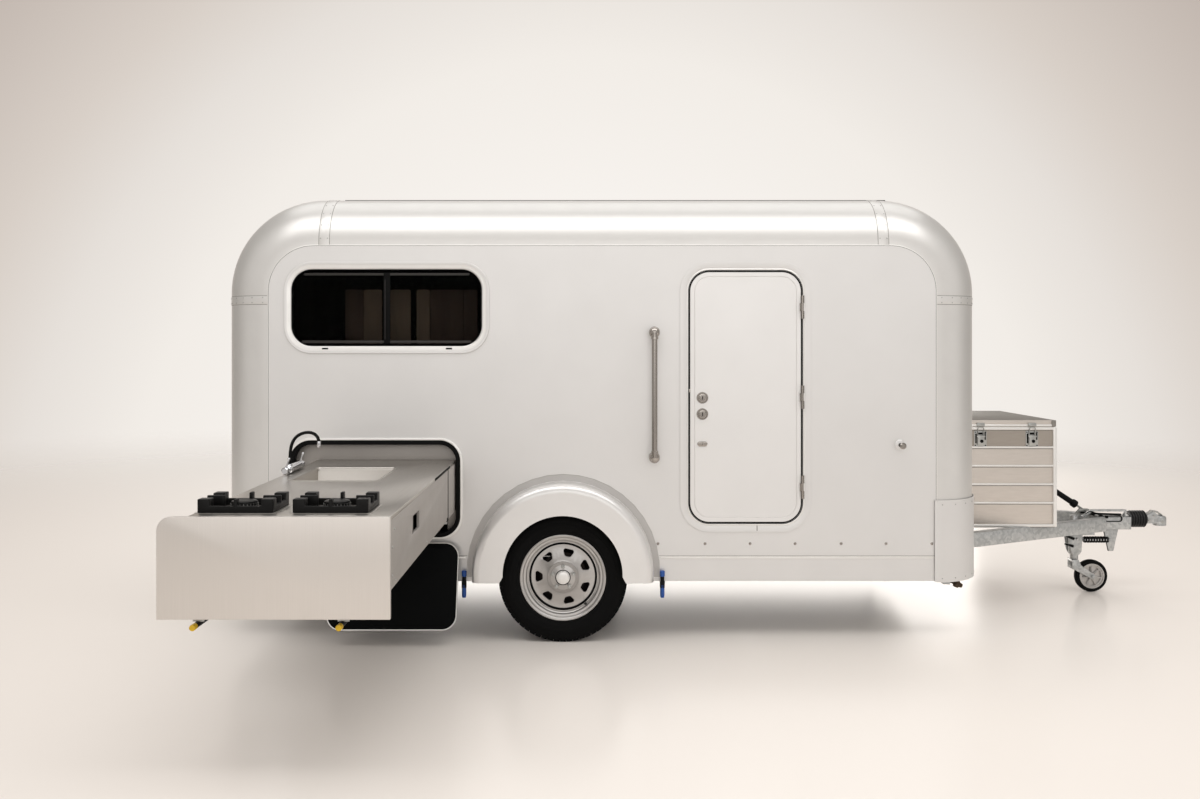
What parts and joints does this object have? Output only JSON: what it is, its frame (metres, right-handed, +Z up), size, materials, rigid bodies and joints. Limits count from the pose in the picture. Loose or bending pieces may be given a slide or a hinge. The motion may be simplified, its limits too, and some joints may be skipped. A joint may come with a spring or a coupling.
{
  "type": "compact camping trailer",
  "caption": "Compact camping trailer with a boxy round-edged body, side door, slide-out kitchen, front storage box and jockey wheel, parked level.",
  "frame": {"origin": "centre of the tow ball's socket in the coupling head", "axes": "+X forward to the coupling, +Y to the trailer's left, +Z up"},
  "size_m": [5.498, 3.83, 2.328],
  "materials": {
    "silver_panel": "satin silver anodised sheet of the sandwich panels",
    "silver_metal": "pale satin anodised profile",
    "aluminium": "satin aluminium",
    "brushed_steel": "brushed stainless steel",
    "galvanised": "galvanised steel",
    "chrome": "polished",
    "cast_iron": "black enamelled cast iron",
    "tyre": "black tread rubber",
    "rubber": "black rubber",
    "tinted_glass": "dark tinted acrylic",
    "dark_board": "dark textured plastic",
    "solar": "black solar laminate",
    "plywood": "varnished plywood",
    "fabric": "woven fabric",
    "red_lens": "red lens",
    "valve": "blue and black plastic"
  },
  "bodies": {
    "trailer": {"wall_right": "silver_panel", "wall_left": "silver_panel", "roof": "silver_panel", "end_walls": "silver_panel", "roof_bends": "silver_panel", "corner_posts": "silver_panel", "corner_bends": "silver_panel", "roof_rails": "silver_panel", "skirt": "silver_panel", "corner_guards": "silver_metal", "window_frames": "silver_metal", "window_glass": "tinted_glass", "door_frame": "silver_metal", "door_catch": "aluminium", "grab_rail": "silver_metal", "kitchen_frame": "silver_metal", "kitchen_seal": "rubber", "kitchen_runners": "galvanised", "axle": "galvanised", "fenders": "silver_metal", "floor": "plywood", "chassis": "galvanised", "drawbar": "galvanised", "coupling_head": "galvanised", "bellows": "rubber", "handbrake": "galvanised", "safety_line": "rubber", "jockey_clamp": "galvanised", "storage_box": "aluminium", "solar_panel": "solar", "bunk": "plywood", "mattress": "fabric", "drain_taps": "valve", "rear_lamps": "red_lens"},
    "wheel_right": {"tyre_right": "tyre", "rim_right": "aluminium", "drum_right": "cast_iron"},
    "wheel_left": {"tyre_left": "tyre", "rim_left": "aluminium", "drum_left": "cast_iron"},
    "door": {"door_leaf": "silver_panel", "door_locks": "chrome"},
    "kitchen_carriage": {"carriage_rails": "galvanised"},
    "kitchen_drawer": {"drawer_box": "brushed_steel", "drawer_front": "brushed_steel", "worktop": "brushed_steel", "burners": "cast_iron", "tap_mixer": "chrome", "tap_spout": "cast_iron", "drawer_legs": "galvanised"},
    "flap": {"kitchen_flap": "dark_board"},
    "lid": {"box_lid": "aluminium"},
    "jockey_post": {"jockey_leg": "galvanised"},
    "jockey_swivel": {"jockey_fork": "galvanised"},
    "jockey_roller": {"jockey_wheel": "tyre"},
    "steady_fr": {"steady_front_right": "galvanised"},
    "steady_fl": {"steady_front_left": "galvanised"},
    "steady_rr": {"steady_rear_right": "galvanised"},
    "steady_rl": {"steady_rear_left": "galvanised"}
  },
  "joints": [
    {"name": "wheel_right_spin", "type": "hinge", "parent": "trailer", "child": "wheel_right", "pos_m": [-3.63, -0.9775, -0.102], "axis": [0, 1, 0], "continuous": true},
    {"name": "wheel_left_spin", "type": "hinge", "parent": "trailer", "child": "wheel_left", "pos_m": [-3.63, 0.9775, -0.102], "axis": [0, 1, 0], "continuous": true},
    {"name": "door_hinge", "type": "hinge", "parent": "trailer", "child": "door", "pos_m": [-2.397, -1.014, 0.816], "axis": [0, 0, 1], "range_deg": [0, 165]},
    {"name": "kitchen_slide", "type": "slide", "parent": "trailer", "child": "kitchen_drawer", "axis": [0, 1, 0], "range_m": [0, 1.672], "deforming": ["tap_spout", "drawer_legs"]},
    {"name": "carriage_slide", "type": "slide", "parent": "trailer", "child": "kitchen_carriage", "axis": [0, 1, 0], "range_m": [0, 0.836]},
    {"name": "flap_hinge_joint", "type": "hinge", "parent": "trailer", "child": "flap", "pos_m": [-4.49, -1.024, 0.068], "axis": [-1, 0, 0], "range_deg": [0, 73]},
    {"name": "lid_hinge", "type": "hinge", "parent": "trailer", "child": "lid", "pos_m": [-1.1225, 0.406, 0.613], "axis": [-1, 0, 0], "range_deg": [0, 95]},
    {"name": "jockey_slide", "type": "slide", "parent": "trailer", "child": "jockey_post", "axis": [0, 0, 1], "range_m": [-0.1, 0.02]},
    {"name": "jockey_turn", "type": "hinge", "parent": "jockey_post", "child": "jockey_swivel", "pos_m": [-0.524, 0, -0.23], "axis": [0, 0, 1], "continuous": true},
    {"name": "jockey_roll", "type": "hinge", "parent": "jockey_swivel", "child": "jockey_roller", "pos_m": [-0.422, 0, -0.332], "axis": [0, 1, 0], "continuous": true},
    {"name": "steady_fr_hinge", "type": "hinge", "parent": "trailer", "child": "steady_fr", "pos_m": [-1.93, -0.85, -0.145], "axis": [0, 1, 0], "range_deg": [0, 38]},
    {"name": "steady_fl_hinge", "type": "hinge", "parent": "trailer", "child": "steady_fl", "pos_m": [-1.93, 0.85, -0.145], "axis": [0, 1, 0], "range_deg": [0, 38]},
    {"name": "steady_rr_hinge", "type": "hinge", "parent": "trailer", "child": "steady_rr", "pos_m": [-4.928, -0.85, -0.145], "axis": [0, -1, 0], "range_deg": [0, 38]},
    {"name": "steady_rl_hinge", "type": "hinge", "parent": "trailer", "child": "steady_rl", "pos_m": [-4.928, 0.85, -0.145], "axis": [0, -1, 0], "range_deg": [0, 38]}
  ],
  "couplings": [
    {"joint": "carriage_slide", "follows": "kitchen_slide", "ratio": 0.5}
  ]
}
